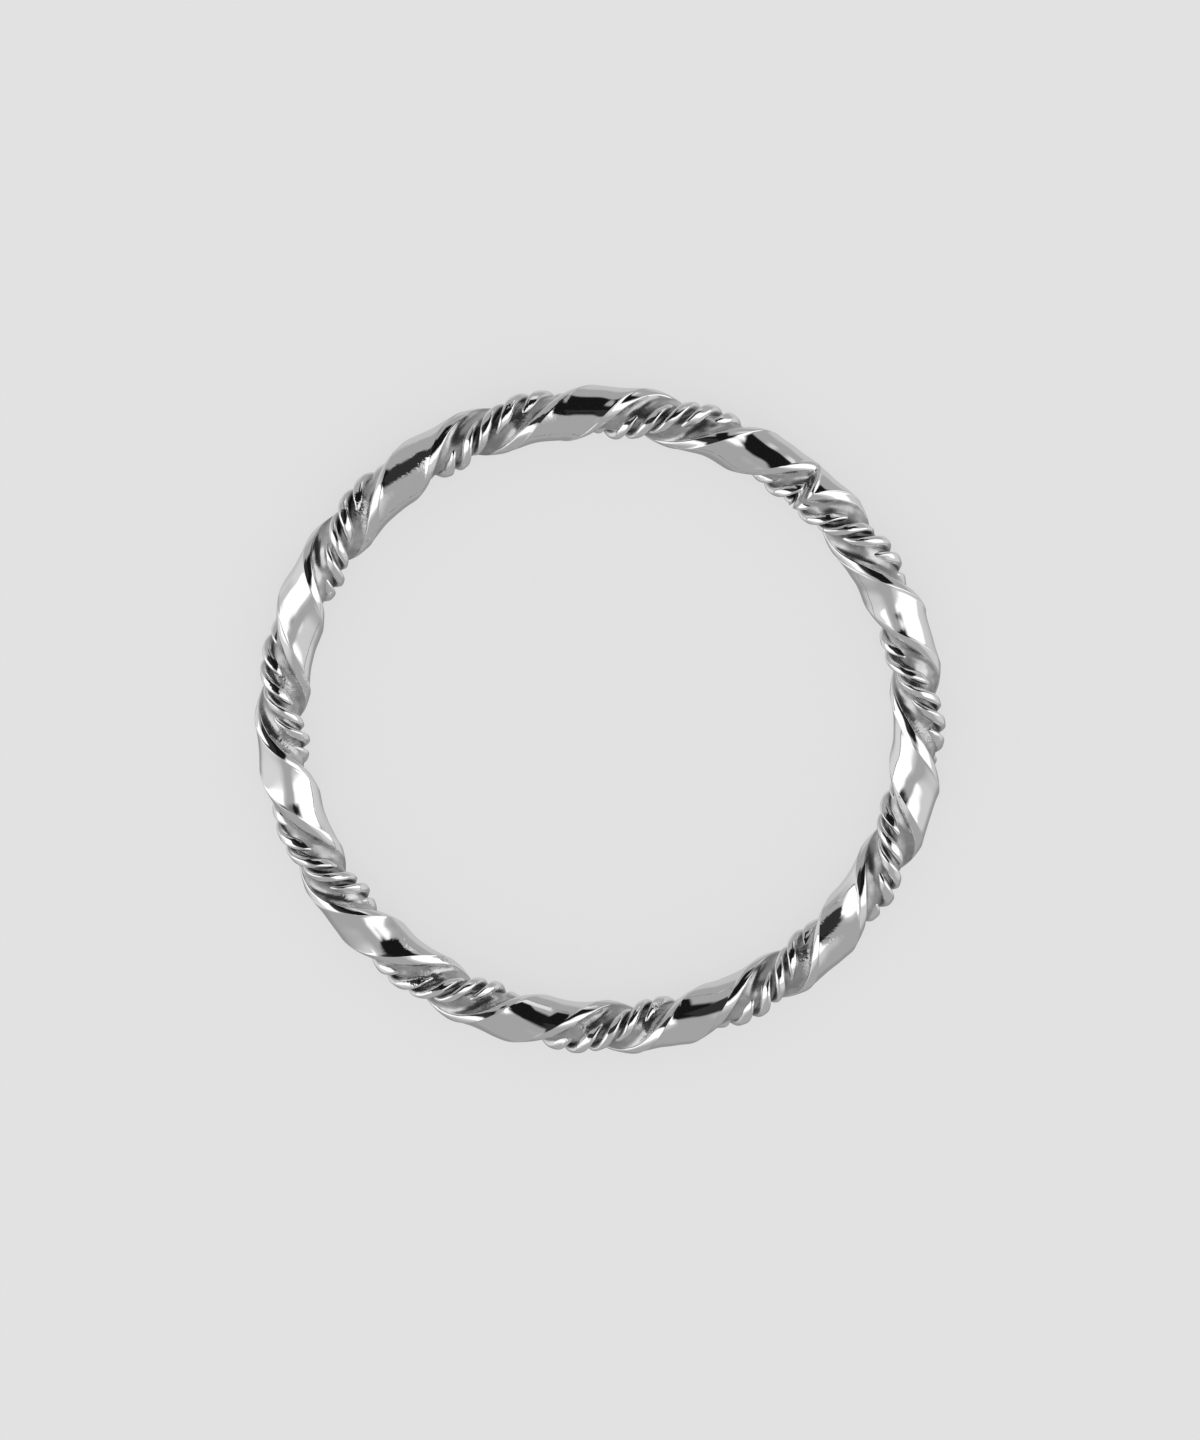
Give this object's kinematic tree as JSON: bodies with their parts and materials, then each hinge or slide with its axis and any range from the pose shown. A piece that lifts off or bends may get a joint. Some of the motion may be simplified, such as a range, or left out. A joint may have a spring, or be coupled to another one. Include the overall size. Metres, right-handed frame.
{
  "type": "twisted wire finger ring",
  "caption": "Slim finger ring of polished silver: a half round wire twisted together with a two-strand rope of fine round wire and closed at a soldered joint.",
  "frame": {"origin": "middle of the underside of the hoop, on the surface that the ring lies on", "axes": "+Z along the finger hole's axis, upwards; +Y from the origin towards the top of the ring as pictured; +X to the right as pictured"},
  "size_m": [0.0205, 0.0206, 0.0016],
  "materials": {
    "half_round_silver": "polished sterling silver, half round wire",
    "strand_silver": "polished sterling silver, fine round wire with slightly duller crevices"
  },
  "bodies": {
    "root": {"half_round_wire": "half_round_silver", "rope_strand_a": "strand_silver", "rope_strand_b": "strand_silver"}
  },
  "joints": []
}
